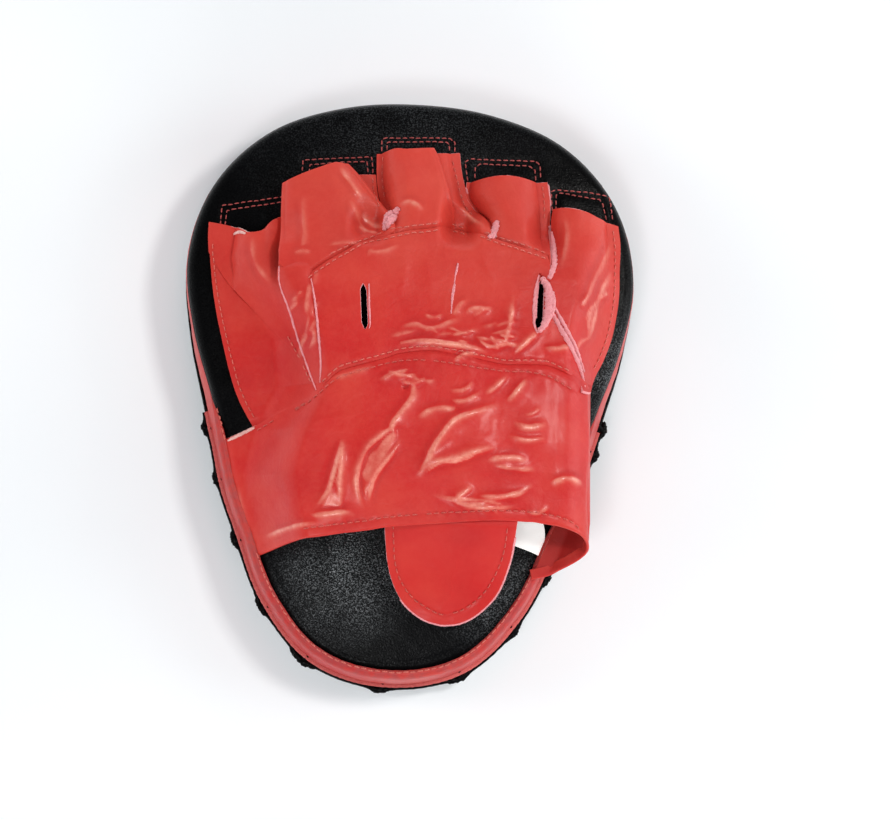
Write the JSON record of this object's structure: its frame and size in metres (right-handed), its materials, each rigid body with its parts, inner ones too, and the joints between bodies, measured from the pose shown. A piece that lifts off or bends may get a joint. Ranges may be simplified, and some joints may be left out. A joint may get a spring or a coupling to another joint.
{
  "type": "focus mitt",
  "caption": "Padded hand target for boxing drills: teardrop foam pad with a leather glove, open finger sleeves, a wrist cuff and a pull tab on its back.",
  "frame": {"origin": "middle of the mitt's bounding box, on the plane of the target patch on the strike face", "axes": "+Y towards the fingertips, +X towards the little finger, +Z out of the hand side; the mitt lies on its strike face"},
  "size_m": [0.202, 0.266, 0.0771],
  "materials": {
    "red_leather": "semi-gloss, creased",
    "black_leather": "fine grain, satin",
    "black_lace": "satin",
    "firm_foam": "matte",
    "soft_foam": "matte",
    "label_fabric": "matte"
  },
  "bodies": {
    "root": {"strike_face": "black_leather", "target_patch": "red_leather", "front_foam": "firm_foam", "middle_foam": "soft_foam", "back_foam": "soft_foam", "back_panel": "black_leather", "side_wall_upper": "red_leather", "side_wall_lower": "red_leather", "edge_binding": "red_leather", "edge_lace": "black_lace", "palm_grip_pad": "black_leather", "thumb_sleeve": "red_leather", "index_sleeve": "red_leather", "middle_sleeve": "red_leather", "ring_sleeve": "red_leather", "little_sleeve": "red_leather", "thumb_side_panel": "red_leather", "thumb_gusset": "red_leather", "knuckle_panel": "red_leather", "cuff_left_wing": "red_leather", "cuff_right_wing": "red_leather"},
    "cuff": {"cuff_crown": "red_leather", "cuff_lining": "red_leather"},
    "tab": {"pull_tab": "red_leather", "pull_tab_lining": "red_leather"},
    "label": {"care_label": "label_fabric"}
  },
  "joints": [
    {"name": "cuff_lift", "type": "hinge", "parent": "root", "child": "cuff", "pos_m": [0, 0.01846, 0.07314], "axis": [-1, 0, 0], "range_deg": [0, 9]},
    {"name": "pull_tab_flap", "type": "hinge", "parent": "cuff", "child": "tab", "pos_m": [0.022, -0.05724, 0.0733], "axis": [-1, 0, 0], "range_deg": [0, 130]},
    {"name": "label_flip", "type": "hinge", "parent": "root", "child": "label", "pos_m": [0.0563, -0.04954, 0.0433], "axis": [-1, 0, 0], "range_deg": [0, 35]}
  ]
}
